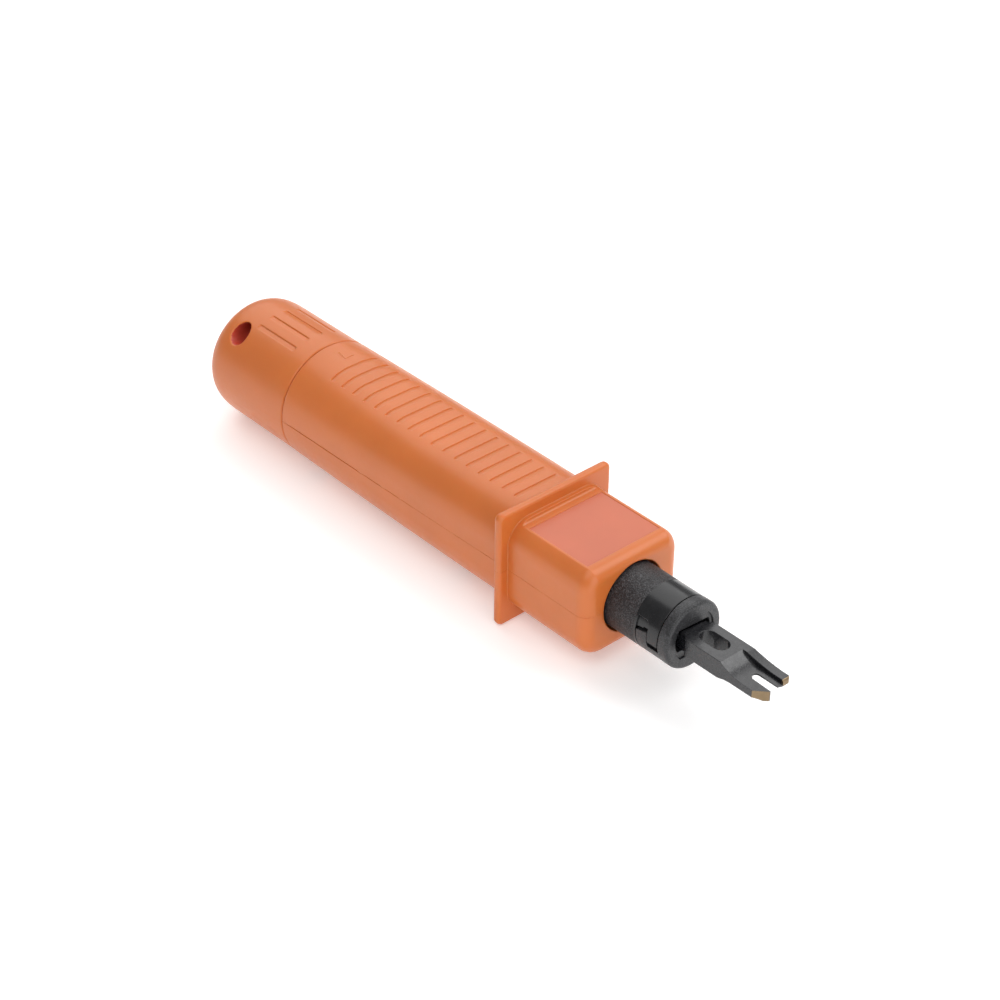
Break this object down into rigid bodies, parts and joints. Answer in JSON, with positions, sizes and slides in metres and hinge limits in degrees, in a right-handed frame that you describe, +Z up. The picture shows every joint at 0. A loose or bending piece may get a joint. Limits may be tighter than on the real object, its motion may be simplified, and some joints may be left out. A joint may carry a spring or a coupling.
{
  "type": "punch down tool",
  "caption": "Impact punch down tool: orange split plastic handle with grip ribs and hand flange, turning end cap with lanyard hole, sprung black barrel and reversible forked steel blade.",
  "frame": {"origin": "bottom centre of the whole tool's box, under the tool axis, which is 13.6 mm up", "axes": "+X along the tool axis towards the blade, +Z up through the flat label side of the nose, +Y to the left seen from behind the cap"},
  "size_m": [0.1614, 0.03, 0.0272],
  "materials": {
    "orange_shell": "satin moulded orange",
    "black_barrel": "spark textured black nylon",
    "black_collar": "fine textured black nylon",
    "blued_steel": "black oxide with bare tips",
    "plain_steel": "machined",
    "spring_steel": "drawn wire",
    "zinc_steel": "zinc plated",
    "brass": "machined",
    "rubber": "moulded"
  },
  "bodies": {
    "casing": {"upper_shell": "orange_shell", "lower_shell": "orange_shell", "casing_screws": "zinc_steel", "sear_ramp": "plain_steel", "bumper_ring": "rubber", "web_washer": "plain_steel", "main_spring": "spring_steel", "return_spring": "spring_steel"},
    "end_cap": {"tail_cap": "orange_shell", "cap_seal": "rubber", "adjuster_screw": "zinc_steel"},
    "spring_seat": {"adjuster_nut": "brass", "nut_washer": "plain_steel"},
    "hammer_group": {"hammer": "plain_steel", "sear_spring": "spring_steel"},
    "sear_plate": {"sear": "plain_steel"},
    "barrel_group": {"barrel_sleeve": "black_barrel", "plunger_rod": "plain_steel", "barrel_pin": "plain_steel", "blade_holder": "blued_steel", "barrel_collar": "black_collar", "blade_latch": "spring_steel"},
    "blade_bit": {"blade": "blued_steel"}
  },
  "joints": [
    {"name": "plunger_slide", "type": "slide", "parent": "casing", "child": "barrel_group", "axis": [1, 0, 0], "range_m": [-0.0095, 0], "stiffness_N_per_m": 2500, "springref_m": 0.004, "deforming": ["return_spring", "main_spring", "sear_spring"]},
    {"name": "hammer_slide", "type": "slide", "parent": "casing", "child": "hammer_group", "axis": [1, 0, 0], "range_m": [-0.0095, 0], "deforming": ["main_spring"]},
    {"name": "sear_shift", "type": "slide", "parent": "hammer_group", "child": "sear_plate", "axis": [0, 0, 1], "range_m": [-0.0014, 0], "deforming": ["sear_spring"]},
    {"name": "cap_turn", "type": "hinge", "parent": "casing", "child": "end_cap", "pos_m": [-0.0517, 0, 0.0136], "axis": [1, 0, 0], "range_deg": [0, 180], "deforming": ["main_spring"]},
    {"name": "nut_travel", "type": "slide", "parent": "casing", "child": "spring_seat", "axis": [1, 0, 0], "range_m": [0, 0.003], "deforming": ["main_spring"]},
    {"name": "blade_pull", "type": "slide", "parent": "barrel_group", "child": "blade_bit", "axis": [1, 0, 0], "range_m": [0, 0.03], "deforming": ["blade_latch"]}
  ],
  "couplings": [
    {"joint": "hammer_slide", "follows": "plunger_slide", "ratio": 1},
    {"joint": "sear_shift", "follows": "plunger_slide", "ratio": 0.1473},
    {"joint": "nut_travel", "follows": "cap_turn", "m_per_rad": 0.000954}
  ]
}
